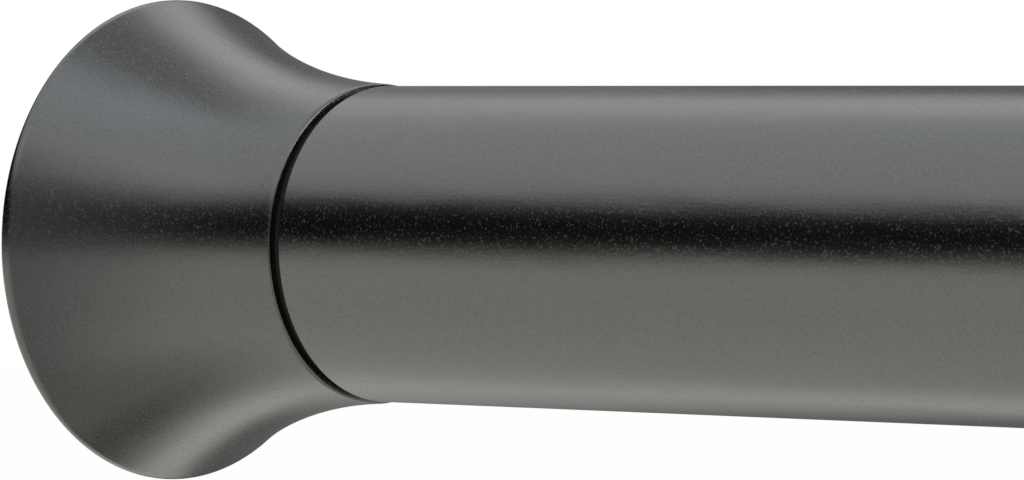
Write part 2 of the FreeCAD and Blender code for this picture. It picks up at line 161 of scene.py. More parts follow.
class ShaderGraph:
    """The nodes of one material, or of the studio's surround."""

    def __init__(self, tree: bpy.types.NodeTree) -> None:
        """Start from an empty node tree.

        Args:
            tree: The node tree to fill.
        """
        self.tree = tree
        self.tree.nodes.clear()

    def node(
        self,
        kind: str,
        settings: Optional[dict[str, object]] = None,
        inputs: Optional[dict[Union[str, int], object]] = None,
    ) -> bpy.types.Node:
        """Add a node.

        Args:
            kind: The node's type name.
            settings: Properties that are set before any socket. "stops" fills a ramp.
            inputs: Values, signals or sockets by the input's name or number.

        Returns:
            The new node.
        """
        node = self.tree.nodes.new(kind)
        for name, value in (settings or {}).items():
            if name == "stops":
                self._fill_ramp(node.color_ramp, value)
            else:
                setattr(node, name, value)
        for key, value in (inputs or {}).items():
            self._feed(node.inputs[key], value)
        return node

    def _fill_ramp(self, ramp: bpy.types.ColorRamp, stops: list[tuple[float, Colour]]) -> None:
        """Give a ramp its stops."""
        while len(ramp.elements) < len(stops):
            ramp.elements.new(1.0)
        for element, (place, colour) in zip(ramp.elements, stops):
            element.position = place
            element.color = (*colour, 1.0)

    def _feed(self, socket: bpy.types.NodeSocket, value: object) -> None:
        """Link a signal or set a plain value on a socket."""
        if isinstance(value, Signal):
            self.tree.links.new(value.socket, socket)
        elif isinstance(value, bpy.types.NodeSocket):
            self.tree.links.new(value, socket)
        elif isinstance(value, tuple) and len(value) == 3 and socket.type == "RGBA":
            socket.default_value = (*value, 1.0)
        else:
            socket.default_value = value

    def signal(self, node: bpy.types.Node, output: Union[str, int] = 0) -> Signal:
        """Wrap an output of a node."""
        return Signal(self, node.outputs[output])

    def object_place(self) -> Signal:
        """Object coordinates, which are the rod's own metres."""
        return self.signal(self.node("ShaderNodeTexCoord"), "Object")

    def stretched_place(self, scale: Stretch) -> Signal:
        """Object coordinates scaled by axis.

        Args:
            scale: Factor along X, Y and Z.

        Returns:
            The scaled coordinates.
        """
        inputs = {"Vector": self.object_place(), "Scale": scale}
        return self.signal(self.node("ShaderNodeMapping", None, inputs), "Vector")

    def noise(self, place: Signal, size: float, detail: float, rough: float) -> Signal:
        """Smooth random pattern between 0 and 1.

        Args:
            place: The coordinates that the pattern follows.
            size: Size of a grain in metres.
            detail: Number of finer layers.
            rough: Strength of the finer layers.

        Returns:
            The pattern's value.
        """
        inputs = {"Vector": place, "Scale": 1.0 / size, "Detail": detail, "Roughness": rough}
        return self.signal(self.node("ShaderNodeTexNoise", {"noise_dimensions": "3D"}, inputs), 0)

    def ramp(self, value: Operand, stops: list[tuple[float, Colour]]) -> Signal:
        """Colour ramp over a value.

        Args:
            value: The value from 0 to 1.
            stops: Places and colours of the stops.

        Returns:
            The colour.
        """
        node = self.node("ShaderNodeValToRGB", {"stops": stops}, {"Fac": value})
        return self.signal(node, "Color")

    def rise(self, value: Operand, start: float, end: float) -> Signal:
        """Straight rise from 0 at a start value to 1 at an end value, held beyond both.

        Args:
            value: The value that rises.
            start: Value at which the rise starts.
            end: Value at which it ends.

        Returns:
            The share of the rise that is done.
        """
        inputs = {"Value": value, "From Min": start, "From Max": end, "To Min": 0.0, "To Max": 1.0}
        return self.signal(self.node("ShaderNodeMapRange", {"clamp": True}, inputs), "Result")

    def wrapped(self, value: Operand, low: float, high: float) -> Signal:
        """Bring a value between two limits by whole steps of their distance.

        Args:
            value: The value to bring in.
            low: Lower limit.
            high: Upper limit.

        Returns:
            The value between the limits.
        """
        node = self.node("ShaderNodeMath", {"operation": "WRAP"}, {0: value, 1: high, 2: low})
        return self.signal(node)

    def blend(self, share: Operand, first: object, second: object) -> Signal:
        """Mix two colours.

        Args:
            share: Share of the second colour.
            first: The first colour.
            second: The second colour.

        Returns:
            The mixed colour.
        """
        node = self.node("ShaderNodeMix", {"data_type": "RGBA"}, {0: share, 6: first, 7: second})
        return self.signal(node, 2)

    def relief(self, height: Signal, depth: float) -> Signal:
        """Surface relief of a given depth in metres."""
        inputs = {"Height": height, "Distance": depth, "Strength": 1.0}
        return self.signal(self.node("ShaderNodeBump", None, inputs), "Normal")

    def surface(self, **sockets: object) -> None:
        """Finish the material with one glossy surface.

        Args:
            **sockets: Values by socket name, with spaces written as underscores.
        """
        inputs = {name.replace("_", " "): value for name, value in sockets.items()}
        shader = self.node("ShaderNodeBsdfPrincipled", None, inputs)
        self.close(shader, "ShaderNodeOutputMaterial")

    def close(self, shader: bpy.types.Node, output_kind: str) -> None:
        """Link a shader to a new output node."""
        output = self.node(output_kind)
        self.tree.links.new(shader.outputs[0], output.inputs["Surface"])


@dataclass(frozen=True)
class Finish:
    """A surface finish, made into a material by its subclass."""

    name: str

    def material(self) -> bpy.types.Material:
        """Make the material, or give back the one already made."""
        known = bpy.data.materials.get(self.name)
        if known is not None:
            return known
        made = bpy.data.materials.new(self.name)
        made.use_nodes = True
        self.draw(ShaderGraph(made.node_tree))
        return made

    def draw(self, graph: ShaderGraph) -> None:
        """Fill the material's nodes."""
        raise NotImplementedError


@dataclass(frozen=True)
class PewterCoat(Finish):
    """Satin pewter coat with metal flake: dark, nearly neutral and finely grained."""

    tone: Colour = (0.158, 0.158, 0.154)
    roughness: float = 0.22
    flake: float = 0.00020
    flake_contrast: float = 0.12
    sparkle: float = 0.20
    draw_marks: float = 0.0
    waves: float = 5.0
    relief_depth: float = 0.000006
    flake_stops: tuple[float, float, float] = (0.32, 0.50, 0.68)
    sparkle_span: Point = (0.60, 0.70)
    cloud: float = 0.006
    cloud_share: float = 0.10
    cloud_factor: float = 1.5
    cloud_gloss: float = 0.04
    mark: float = 0.0002
    mark_stretch: Stretch = (0.06, 1.0, 1.0)
    swell: float = 0.003
    swell_stretch: Stretch = (0.25, 1.0, 1.0)

    def draw(self, graph: ShaderGraph) -> None:
        """Fill the material's nodes."""
        place = graph.object_place()
        flakes = graph.noise(place, self.flake, detail=1.0, rough=0.6)
        clouds = graph.noise(place, self.cloud, detail=3.0, rough=0.55)
        drawn = graph.stretched_place(self.mark_stretch)
        marks = graph.noise(drawn, self.mark, detail=2.0, rough=0.6)
        dark = shaded(self.tone, 1.0 - self.flake_contrast)
        light = shaded(self.tone, 1.0 + self.flake_contrast)
        speckle = graph.ramp(flakes, list(zip(self.flake_stops, (dark, self.tone, light))))
        clouded = shaded(self.tone, self.cloud_factor)
        shade = graph.blend(clouds * self.cloud_share, speckle, clouded)
        rolled = graph.stretched_place(self.swell_stretch)
        swell = graph.noise(rolled, self.swell, detail=1.0, rough=0.5)
        height = flakes + marks * self.draw_marks + swell * self.waves
        coarse = graph.rise(flakes, *self.sparkle_span)
        dulled = (clouds - 0.5) * self.cloud_gloss
        roughness = self.roughness + dulled + coarse * self.sparkle
        graph.surface(
            Base_Color=shade,
            Metallic=1.0,
            Roughness=roughness,
            Normal=graph.relief(height, self.relief_depth),
        )


@dataclass(frozen=True)
class MouldedPlastic(Finish):
    """Moulded plastic with a fine spark-eroded texture."""

    tone: Colour = (0.02, 0.02, 0.02)
    roughness: float = 0.5
    texture: float = 0.0003
    relief_depth: float = 0.00001
    cloud: float = 0.008
    cloud_share: float = 0.25
    cloud_factor: float = 1.35
    gloss_change: float = 0.15

    def draw(self, graph: ShaderGraph) -> None:
        """Fill the material's nodes."""
        place = graph.object_place()
        grain = graph.noise(place, self.texture, detail=3.0, rough=0.6)
        clouds = graph.noise(place, self.cloud, detail=2.0, rough=0.5)
        clouded = shaded(self.tone, self.cloud_factor)
        graph.surface(
            Base_Color=graph.blend(clouds * self.cloud_share, self.tone, clouded),
            Roughness=self.roughness + (grain - 0.5) * self.gloss_change,
            Normal=graph.relief(grain, self.relief_depth),
        )


@dataclass(frozen=True)
class PlatedSteel(Finish):
    """Plated or oiled steel with lines that run around the turned piece."""

    tone: Colour = (0.55, 0.55, 0.56)
    roughness: float = 0.3
    line: float = 0.00025
    line_stretch: Stretch = (1.0, 0.05, 0.05)
    relief_depth: float = 0.000005
    cloud: float = 0.004
    cloud_share: float = 0.4
    cloud_factor: float = 0.75
    gloss_change: float = 0.12

    def draw(self, graph: ShaderGraph) -> None:
        """Fill the material's nodes."""
        around = graph.stretched_place(self.line_stretch)
        lines = graph.noise(around, self.line, detail=3.0, rough=0.6)
        clouds = graph.noise(graph.object_place(), self.cloud, detail=3.0, rough=0.6)
        clouded = shaded(self.tone, self.cloud_factor)
        graph.surface(
            Base_Color=graph.blend(clouds * self.cloud_share, self.tone, clouded),
            Metallic=1.0,
            Roughness=self.roughness + (clouds - 0.5) * self.gloss_change,
            Normal=graph.relief(lines, self.relief_depth),
        )


@dataclass(frozen=True)
class SoftRubber(Finish):
    """Matt rubber with a fine mottled skin."""

    tone: Colour = (0.03, 0.03, 0.03)
    roughness: float = 0.75
    texture: float = 0.0005
    relief_depth: float = 0.00002
    dust: float = 0.005
    dust_share: float = 0.3
    dust_factor: float = 2.0
    gloss_change: float = 0.2

    def draw(self, graph: ShaderGraph) -> None:
        """Fill the material's nodes."""
        place = graph.object_place()
        grain = graph.noise(place, self.texture, detail=4.0, rough=0.6)
        dust = graph.noise(place, self.dust, detail=3.0, rough=0.6)
        dusty = shaded(self.tone, self.dust_factor)
        graph.surface(
            Base_Color=graph.blend(dust * self.dust_share, self.tone, dusty),
            Roughness=self.roughness + (grain - 0.5) * self.gloss_change,
            Normal=graph.relief(grain, self.relief_depth),
        )


TUBE_COAT = PewterCoat("tube_pewter", draw_marks=0.5, waves=8.0)
CAP_COAT = PewterCoat("cap_pewter", tone=(0.150, 0.150, 0.146), roughness=0.24)
BLACK_MOULDING = MouldedPlastic("black_moulding", tone=(0.012, 0.012, 0.012), roughness=0.55)
NATURAL_NYLON = MouldedPlastic("natural_nylon", tone=(0.62, 0.60, 0.54), roughness=0.42)
BRIGHT_STEEL = PlatedSteel("bright_steel")
OILED_STEEL = PlatedSteel("oiled_steel", tone=(0.25, 0.25, 0.27), roughness=0.35)
PAD_RUBBER = SoftRubber("pad_rubber")
RING_RUBBER = SoftRubber("ring_rubber", tone=(0.02, 0.02, 0.02), roughness=0.6)

NODE_FINISH: dict[str, Finish] = {
    "left_wall_pad": PAD_RUBBER,
    "right_wall_pad": PAD_RUBBER,
    "left_cap_screw": BRIGHT_STEEL,
    "right_cap_screw": BRIGHT_STEEL,
    "left_tube_plug": BLACK_MOULDING,
    "right_tube_plug": BLACK_MOULDING,
    "tube_collar": BLACK_MOULDING,
    "expander_sleeve": NATURAL_NYLON,
    "expander_ring": RING_RUBBER,
    "wedge_nut": NATURAL_NYLON,
    "rod_nuts": BRIGHT_STEEL,
    "hub_clip": OILED_STEEL,
    "thrust_washer": BRIGHT_STEEL,
    "spring_seat": NATURAL_NYLON,
    "end_washer": BRIGHT_STEEL,
    "inner_tube_bush": NATURAL_NYLON,
}


class Shop:
    """Mesh tools that the pieces share."""

    @staticmethod
    def arc(centre: Point, radius: float, start: float, end: float, steps: int) -> list[Point]:
        """Points along an arc in the half plane above the axis.

        Args:
            centre: Centre of the arc, along and above the axis.
            radius: Radius of the arc.
            start: First angle from the axis's direction, in degrees.
            end: Last angle, in degrees.
            steps: Number of chords.

        Returns:
            The points, both ends included.
        """
        points = []
        for step in range(steps + 1):
            turn = math.radians(start + (end - start) * step / steps)
            along, above = radius * math.cos(turn), radius * math.sin(turn)
            points.append((centre[0] + along, centre[1] + above))
        return points

    @staticmethod
    def turned(
        mesh: bmesh.types.BMesh, outline: list[Point], segments: int, solid: bool = False
    ) -> None:
        """Turn an outline about the rod's axis into a closed shell.

        Args:
            mesh: The mesh that receives the shell.
            outline: Corners along and above the axis, in order.
            segments: Number of steps in the turn.
            solid: Whether the outline starts and ends on the axis and stays open there.
        """
        corners = [mesh.verts.new((x, 0.0, r)) for x, r in outline]
        followers = corners[1:] if solid else corners[1:] + corners[:1]
        edges = [mesh.edges.new(pair) for pair in zip(corners, followers)]
        bmesh.ops.spin(
            mesh,
            geom=corners + edges,
            cent=ORIGIN,
            axis=ROD_AXIS,
            dvec=ORIGIN,
            angle=FULL_TURN,
            steps=segments,
            use_merge=True,
            use_duplicate=False,
        )

    @staticmethod
    def fin(
        mesh: bmesh.types.BMesh, outline: list[Point], thickness: float, turn: float
    ) -> None:
        """Flat blade that stands up from the axis, turned about it by an angle.

        Args:
            mesh: The mesh that receives the blade.
            outline: Corners of the blade along and above the axis, in order.
            thickness: Thickness of the blade.
            turn: Angle about the axis in radians.
        """
        corners = [mesh.verts.new((x, -thickness / 2, r)) for x, r in outline]
        side = mesh.faces.new(corners)
        grown = bmesh.ops.extrude_face_region(mesh, geom=[side], use_keep_orig=True)
        moved = [item for item in grown["geom"] if isinstance(item, bmesh.types.BMVert)]
        bmesh.ops.translate(mesh, verts=moved, vec=(0.0, thickness, 0.0))
        spun = Matrix.Rotation(turn, 3, "X")
        bmesh.ops.rotate(mesh, verts=corners + moved, cent=ORIGIN, matrix=spun)

    @staticmethod
    def helix(
        mesh: bmesh.types.BMesh,
        outline: list[Vector],
        turns: float,
        pitch: float,
        steps_a_turn: int,
    ) -> None:
        """Sweep a closed outline along a helix about the rod's axis.

        Args:
            mesh: The mesh that receives the sweep.
            outline: Corners of the section at its start, in order.
            turns: Number of turns.
            pitch: Advance along the axis in each turn.
            steps_a_turn: Number of steps in each turn.
        """
        corners = [mesh.verts.new(corner) for corner in outline]
        edges = [mesh.edges.new(pair) for pair in zip(corners, corners[1:] + corners[:1])]
        bmesh.ops.spin(
            mesh,
            geom=corners + edges,
            cent=ORIGIN,
            axis=ROD_AXIS,
            dvec=ROD_AXIS * (pitch / steps_a_turn),
            angle=FULL_TURN * turns,
            steps=round(steps_a_turn * turns),
            use_merge=False,
            use_duplicate=False,
        )

    @staticmethod
    def trim(mesh: bmesh.types.BMesh, x: float, keep_above: bool) -> None:
        """Cut a mesh flat across the rod's axis and close the cut.

        Args:
            mesh: The mesh to cut.
            x: Station of the cut.
            keep_above: Whether the side towards +X stays.
        """
        geometry = mesh.verts[:] + mesh.edges[:] + mesh.faces[:]
        bmesh.ops.bisect_plane(
            mesh,
            geom=geometry,
            plane_co=(x, 0.0, 0.0),
            plane_no=ROD_AXIS if keep_above else -ROD_AXIS,
            clear_inner=True,
        )
        open_edges = [edge for edge in mesh.edges if edge.is_boundary]
        bmesh.ops.holes_fill(mesh, edges=open_edges, sides=0)

    @staticmethod
    def joined(mesh: bmesh.types.BMesh, other: bmesh.types.BMesh) -> None:
        """Add another mesh to a mesh and free the other."""
        carrier = bpy.data.meshes.new("carrier")
        other.to_mesh(carrier)
        other.free()
        mesh.from_mesh(carrier)
        bpy.data.meshes.remove(carrier)

    @staticmethod
    def finished(
        mesh: bmesh.types.BMesh, name: str, sharp_angle: float = SHARP_ANGLE
    ) -> bpy.types.Object:
        """Close a mesh and make it an object in the scene.

        Args:
            mesh: The mesh, which is freed.
            name: Name of the piece.
            sharp_angle: Edges that turn by more than this many degrees stay crisp.

        Returns:
            The new object, at the origin.
        """
        bmesh.ops.remove_doubles(mesh, verts=mesh.verts[:], dist=MERGE_DISTANCE)
        bmesh.ops.recalc_face_normals(mesh, faces=mesh.faces[:])
        for face in mesh.faces:
            face.smooth = True
        for edge in mesh.edges:
            edge.smooth = edge.calc_face_angle(0.0) < math.radians(sharp_angle)
        data = bpy.data.meshes.new(name)
        mesh.to_mesh(data)
        mesh.free()
        piece = bpy.data.objects.new(name, data)
        bpy.context.scene.collection.objects.link(piece)
        return piece

    @staticmethod
    def mirrored_to_right(mesh: bmesh.types.BMesh, stored_length: float) -> None:
        """Turn a left-hand end piece half round, so that it faces the other wall."""
        centre = Vector((stored_length / 2, 0.0, 0.0))
        half_round = Matrix.Rotation(math.pi, 3, "Z")
        bmesh.ops.rotate(mesh, verts=mesh.verts[:], cent=centre, matrix=half_round)

    @staticmethod
    def dress(piece: bpy.types.Object, finish: Finish) -> None:
        """Give a piece one finish."""
        piece.data.materials.clear()
        piece.data.materials.append(finish.material())

    @staticmethod
    def seat(piece: bpy.types.Object, body: Body, slot: Slot, *nodes: str) -> None:
        """Let a piece stand for solids of a body.

        Args:
            piece: The new piece.
            body: The body that it rides on.
            slot: The record's finish for it; not used.
            *nodes: The solids that it stands for.
        """
        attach(piece, body.value)
        if nodes:
            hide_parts(*nodes)


@dataclass
class RodPlan:
    """Stations and radii of the rod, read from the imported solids."""

    stored_length: float = field(init=False)
    outer_radius: float = field(init=False)
    inner_radius: float = field(init=False)
    outer_span: Point = field(init=False)
    inner_span: Point = field(init=False)
    cap_span: Point = field(init=False)
    rim_radius: float = field(init=False)
    pad_back: float = field(init=False)

    def __post_init__(self) -> None:
        """Read the solids' boxes."""
        low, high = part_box("outer_tube")
        self.outer_span = (low.x, high.x)
        self.outer_radius = high.z
        low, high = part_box("inner_tube")
        self.inner_span = (low.x, high.x)
        self.inner_radius = high.z
        low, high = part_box("left_end_cap")
        self.cap_span = (low.x, high.x)
        self.rim_radius = high.z
        self.pad_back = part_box("left_wall_pad")[1].x
        self.stored_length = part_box("right_wall_pad")[1].x


@dataclass
class FlaredCap:
    """End cap: a trumpet shell with rounded rim and mouth, pad seat, ribs and screw boss."""

    plan: RodPlan
    end: End
    body: Body
    tube_radius: float
    proud: float = 0.19 * MM
    rim_round: float = 1.0 * MM
    mouth_slope: float = 2.9
    wall: float = 1.8 * MM
    web: float = 3.0 * MM
    lip_round: float = 0.15 * MM
    face_land: float = 0.8 * MM
    ledge: float = 1.5 * MM
    rib_count: int = 6
    rib_thickness: float = 1.4 * MM
    boss_setback: float = 6.0 * MM
    boss_radius: float = 6.0 * MM
    counterbore_radius: float = 4.1 * MM
    hole_radius: float = 2.2 * MM
    socket_radius: float = 6.95 * MM
    socket_depth: float = 1.45 * MM
    seat_depth: float = 0.15 * MM
    rib_sunk: float = 0.4 * MM
    lip_turn: float = 75.0
    rim_steps: int = 24
    flare_steps: int = 64
    lip_steps: int = 6
    inside_steps: int = 24
    rib_steps: int = 12
    segments: int = 288

    def flare(self) -> tuple[Point, float]:
        """Centre and radius of the hollow curve between the mouth and the rounded rim."""
        rim_x, mouth_x = self.plan.cap_span
        mouth_radius = self.tube_radius + self.proud
        slope = math.radians(self.mouth_slope)
        along = mouth_x - (rim_x + self.rim_round)
        rise = mouth_radius - (self.plan.rim_radius - self.rim_round)
        lean = along * math.sin(slope) + rise * math.cos(slope)
        radius = (along**2 + rise**2 - self.rim_round**2) / (2 * (self.rim_round - lean))
        centre = (mouth_x + radius * math.sin(slope), mouth_radius + radius * math.cos(slope))
        return centre, radius

    def wall_arc(self, depth: float, from_radius: float, to_x: float, steps: int) -> list[Point]:
        """The flare's curve sunk into the wall, from near the rim to near the mouth.

        Args:
            depth: Depth below the outside, measured square to it.
            from_radius: Height above the axis at which the curve starts.
            to_x: Station at which it ends.
            steps: Number of chords.

        Returns:
            Points from the rim's side to the mouth's side.
        """
        centre, radius = self.flare()
        hollow = radius + depth
        start = -180 + math.degrees(math.asin((centre[1] - from_radius) / hollow))
        end = -90 - math.degrees(math.asin((centre[0] - to_x) / hollow))
        return Shop.arc(centre, hollow, start, end, steps)

    def outline(self) -> list[Point]:
        """Closed outline of the shell, web and boss."""
        rim_x, mouth_x = self.plan.cap_span
        centre, radius = self.flare()
        rim = (rim_x + self.rim_round, self.plan.rim_radius - self.rim_round)
        join = math.degrees(math.atan2(centre[1] - rim[1], centre[0] - rim[0]))
        mouth_radius = self.tube_radius + self.proud
        lip = (mouth_x - self.lip_round, mouth_radius - self.lip_round)
        lip_angle = math.degrees(math.asin((lip[0] - centre[0]) / radius)) - 90
        recess = rim[1] - self.face_land
        opening = recess - self.ledge
        web_x = mouth_x - self.web
        seat_x = web_x - self.seat_depth
        boss_x = self.plan.pad_back + self.boss_setback
        socket_x = mouth_x - self.socket_depth
        points = Shop.arc(rim, self.rim_round, 180, join, self.rim_steps)
        points += Shop.arc(centre, radius, join - 180, lip_angle, self.flare_steps)[1:]
        points += Shop.arc(lip, self.lip_round, self.lip_turn, 0, self.lip_steps)
        points += [(mouth_x, self.socket_radius), (socket_x, self.socket_radius)]
        points += [(socket_x, self.hole_radius), (seat_x, self.hole_radius)]
        points += [(seat_x, self.counterbore_radius), (boss_x, self.counterbore_radius)]
        points += [(boss_x, self.boss_radius), (web_x, self.boss_radius)]
        points += reversed(self.wall_arc(self.wall, opening, web_x, self.inside_steps))
        points += [(self.plan.pad_back, opening), (self.plan.pad_back, recess)]
        return points + [(rim_x, recess)]

    def rib(self) -> list[Point]:
        """Outline of one rib between the boss and the wall, sunk a little into both."""
        sunk = self.rib_sunk
        back = self.plan.pad_back
        web_x = self.plan.cap_span[1] - self.web
        opening = self.plan.rim_radius - self.rim_round - self.face_land - self.ledge
        points = [(back, self.boss_radius), (back, opening + sunk)]
        points += self.wall_arc(self.wall - sunk, opening + sunk, web_x, self.rib_steps)
        foot = back + self.boss_setback
        inside_boss = self.counterbore_radius + sunk
        points += [(web_x + sunk, inside_boss), (foot, inside_boss)]
        return points + [(foot, self.boss_radius)]

    def build(self) -> bpy.types.Object:
        """Make the cap and seat it on its body.

        Returns:
            The cap.
        """
        mesh = bmesh.new()
        Shop.turned(mesh, self.outline(), self.segments)
        for step in range(self.rib_count):
            turn = FULL_TURN * step / self.rib_count
            Shop.fin(mesh, self.rib(), self.rib_thickness, turn)
        if self.end is End.RIGHT:
            Shop.mirrored_to_right(mesh, self.plan.stored_length)
        piece = Shop.finished(mesh, self.end.value + "_cap_shell")
        Shop.dress(piece, CAP_COAT)
        Shop.seat(piece, self.body, Slot.CAP, self.end.value + "_end_cap")
        return piece


@dataclass
class RolledTube:
    """Thin steel tube with both ends rolled over."""

    name: str
    node: str
    body: Body
    span: Point
    radius: float
    wall: float
    edge_round: float = 0.5 * MM
    segments: int = 288
    arc_steps: int = 10
    sharp_angle: float = 40.0

    def outline(self) -> list[Point]:
        """Closed outline of the tube's wall."""
        start, end = self.span
        inner = self.radius - self.wall
        corner = self.edge_round
        middle = self.radius - corner
        points = [(start, inner)]
        points += Shop.arc((start + corner, middle), corner, 180, 90, self.arc_steps)
        points += Shop.arc((end - corner, middle), corner, 90, 0, self.arc_steps)
        return points + [(end, inner)]

    def build(self) -> bpy.types.Object:
        """Make the tube and seat it on its body.

        Returns:
            The tube.
        """
        mesh = bmesh.new()
        Shop.turned(mesh, self.outline(), self.segments)
        piece = Shop.finished(mesh, self.name, self.sharp_angle)
        Shop.dress(piece, TUBE_COAT)
        Shop.seat(piece, self.body, Slot.TUBE, self.node)
        return piece


@dataclass
class PushSpring:
    """Compression spring with ground ends, which shortens as the inner tube is pushed in."""

    node: str = "tension_spring"
    joint: str = "spring_travel"
    wire: float = 2.0 * MM
    turns: float = 9.0
    travel: float = 25.0 * MM
    sides: int = 18
    steps_a_turn: int = 40

    def build(self) -> bpy.types.Object:
        """Make the spring and seat it on its body.

        Returns:
            The spring.
        """
        low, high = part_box(self.node)
        length = high.x - low.x
        pitch = length / self.turns
        mean_radius = high.z - self.wire / 2
        lean = math.atan(pitch / (FULL_TURN * mean_radius))
        start = low.x - SPARE_TURN * pitch
        section = []
        for step in range(self.sides):
            turn = FULL_TURN * step / self.sides
            along = self.wire / 2 * math.cos(turn) * math.cos(lean)
            back = self.wire / 2 * math.cos(turn) * math.sin(lean)
            out = mean_radius + self.wire / 2 * math.sin(turn)
            section.append(Vector((start + along, back, out)))
        mesh = bmesh.new()
        Shop.helix(mesh, section, self.turns + 2 * SPARE_TURN, pitch, self.steps_a_turn)
        Shop.trim(mesh, low.x, True)
        Shop.trim(mesh, high.x, False)
        piece = Shop.finished(mesh, "coil_spring")
        Shop.dress(piece, OILED_STEEL)
        Shop.seat(piece, Body.LOCK, Slot.SPRING, self.node)
        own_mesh(piece)
        return piece


@dataclass
class ThreadedRod:
    """Steel rod of the lock, threaded on its left end and on its right tip."""

    node: str = "lock_rod"
    radius: float = 3.0 * MM
    collar_radius: float = 5.5 * MM
    flats: float = 6.0 * MM
    shaft_bevel: float = 0.15 * MM
    tip_chamfer: float = 0.75 * MM
    groove_depth: float = 0.5 * MM
    thread_depth: float = 0.42 * MM
    lock_lead: float = 2.0 * MM
    tip_pitch: float = 1.0 * MM
    thread_sunk: float = 0.05 * MM
    foot_share: float = 0.44
    crest_share: float = 0.10
    sides: int = 6
    bevel_steps: int = 2
    segments: int = 64
    steps_a_turn: int = 32

    def thread(self, start: float, end: float, pitch: float) -> bmesh.types.BMesh:
        """One thread's ridge between two stations.

        Args:
            start: Station of its first end.
            end: Station of its last end.
            pitch: Advance of the ridge in each turn.

        Returns:
            The ridge, cut flat at both ends and sunk a little into the core.
        """
        foot = self.radius - self.thread_depth - self.thread_sunk
        half_foot, half_crest = pitch * self.foot_share, pitch * self.crest_share
        first = start - SPARE_TURN * pitch
        section = [
            Vector((first - half_foot, 0.0, foot)),
            Vector((first - half_crest, 0.0, self.radius)),
            Vector((first + half_crest, 0.0, self.radius)),
            Vector((first + half_foot, 0.0, foot)),
        ]
        turns = math.ceil((end - start) / pitch) + 2 * SPARE_TURN
        ridge = bmesh.new()
        Shop.helix(ridge, section, turns, pitch, self.steps_a_turn)
        Shop.trim(ridge, start, True)
        Shop.trim(ridge, end, False)
        return ridge

    def shaft(self, start: float, end: float) -> bmesh.types.BMesh:
        """Six-sided shaft with softened edges."""
        bar = bmesh.new()
        corner = self.flats / 2 / math.cos(math.pi / self.sides)
        middle = Matrix.Translation(((start + end) / 2, 0.0, 0.0))
        bmesh.ops.create_cone(
            bar,
            cap_ends=True,
            segments=self.sides,
            radius1=corner,
            radius2=corner,
            depth=end - start,
            matrix=middle @ Matrix.Rotation(math.pi / 2, 4, "Y"),
        )
        bmesh.ops.bevel(
            bar,
            geom=bar.edges[:],
            offset=self.shaft_bevel,
            offset_type="OFFSET",
            segments=self.bevel_steps,
            profile=0.5,
            affect="EDGES",
            material=-1,
        )
        return bar

    def build(self) -> bpy.types.Object:
        """Make the rod and seat it on its body.

        Returns:
            The rod.
        """
        low, high = (corner.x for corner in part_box(self.node))
        clip_low, clip_high = (corner.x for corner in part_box("hub_clip"))
        collar_low, collar_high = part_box("thrust_washer")[1].x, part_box("spring_seat")[0].x
        shaft_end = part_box("end_washer")[0].x
        full, chamfer, collar = self.radius, self.tip_chamfer, self.collar_radius
        core, groove = full - self.thread_depth, full - self.groove_depth
        lock_start, lock_end = low + chamfer, clip_low - chamfer
        tip_start, tip_end = shaft_end + chamfer, high - chamfer
        left = [(low, 0.0), (low, full - chamfer), (lock_start, core), (lock_end, core)]
        left += [(lock_end, full), (clip_low, full), (clip_low, groove), (clip_high, groove)]
        left += [(clip_high, full), (collar_low, full), (collar_low, collar)]
        left += [(collar_high, collar), (collar_high, 0.0)]
        tip = [(shaft_end, 0.0), (shaft_end, full), (tip_start, full), (tip_start, core)]
        tip += [(tip_end, core), (high, core - chamfer), (high, 0.0)]
        mesh = bmesh.new()
        Shop.turned(mesh, left, self.segments, solid=True)
        Shop.turned(mesh, tip, self.segments, solid=True)
        Shop.joined(mesh, self.shaft(collar_high, shaft_end))
        Shop.joined(mesh, self.thread(lock_start, lock_end, self.lock_lead))
        Shop.joined(mesh, self.thread(tip_start, tip_end, self.tip_pitch))
        piece = Shop.finished(mesh, "threaded_rod")
        Shop.dress(piece, BRIGHT_STEEL)
        Shop.seat(piece, Body.LOCK, Slot.STEEL, self.node)
        return piece


class SmallParts:
    """The solids whose shape stays, each with its own finish."""

    def dress(self) -> int:
        """Give every such solid its finish.

        Returns:
            The number of solids dressed.
        """
        for name, finish in NODE_FINISH.items():
            Shop.dress(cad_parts[name], finish)
        return len(NODE_FINISH)


@dataclass(frozen=True)
class TentPanel:
    """Soft-edged panel of the light tent, placed by bearing and height angle in degrees.

    Bearings run from the viewer's side: 0 is towards the viewer and 90 is along the rod.
    A span that ends at -400 or 400 is open on that side.
    """

    bearings: Point
    bearing_edge: float
    heights: Point
    height_edge: float
    tone: Colour

    def share(self, graph: ShaderGraph, bearing: Signal, height: Signal) -> Signal:
        """Share of the panel in the tent's colour.

        Args:
            graph: The tent's shader.
            bearing: Bearing of the shaded point.
            height: Height angle of the shaded point.

        Returns:
            1 on the panel, 0 off it and between them in its soft edges.
        """
        share = self._inside(graph, bearing, self.bearings, self.bearing_edge)
        return share * self._inside(graph, height, self.heights, self.height_edge)

    @staticmethod
    def _inside(graph: ShaderGraph, value: Signal, span: Point, edge: float) -> Signal:
        """1 between two angles and 0 outside them, with soft edges."""
        entered = graph.rise(value, span[0] - edge, span[0] + edge)
        left = graph.rise(value, span[1] - edge, span[1] + edge)
        return entered * (1.0 - left)


